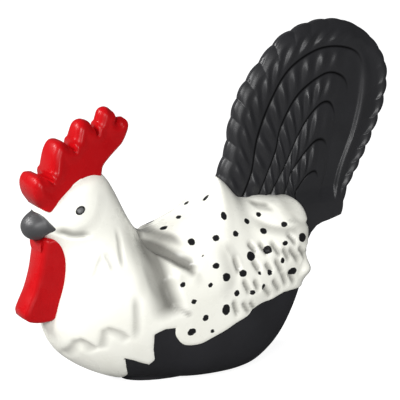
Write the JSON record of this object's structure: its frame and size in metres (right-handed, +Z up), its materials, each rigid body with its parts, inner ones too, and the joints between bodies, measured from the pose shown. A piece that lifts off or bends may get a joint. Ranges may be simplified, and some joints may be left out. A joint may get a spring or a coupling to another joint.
{
  "type": "toy rooster figure",
  "caption": "Toy rooster figure sitting on its belly, with red comb and wattle, white head, speckled back, black belly and an upright scalloped tail fan.",
  "frame": {"origin": "middle of the bounding box's underside, on the surface that the figure rests on", "axes": "+X from the beak to the tail, +Y to the rooster's right side, +Z up"},
  "size_m": [0.1098, 0.035, 0.0889],
  "materials": {
    "white_paint": "white enamel over moulded plastic, soft gloss",
    "speckled_paint": "white enamel with hand-dabbed black spots, soft gloss",
    "black_paint": "dark charcoal, matt",
    "tail_paint": "dark charcoal enamel, glossy",
    "red_paint": "bright red enamel, glossy",
    "grey_paint": "dark grey enamel, soft gloss",
    "steel": "plain steel",
    "iron": "as cast"
  },
  "bodies": {
    "root": {"hackle_left": "white_paint", "hackle_right": "white_paint", "saddle_left": "speckled_paint", "saddle_right": "speckled_paint", "belly_left": "black_paint", "belly_right": "black_paint", "tail": "tail_paint", "comb": "red_paint", "wattle": "red_paint", "beak": "grey_paint", "eye_left": "grey_paint", "eye_right": "grey_paint", "base_plate": "black_paint", "base_screw_front": "steel", "base_screw_rear": "steel", "tail_pin": "steel", "weight": "iron"}
  },
  "joints": []
}
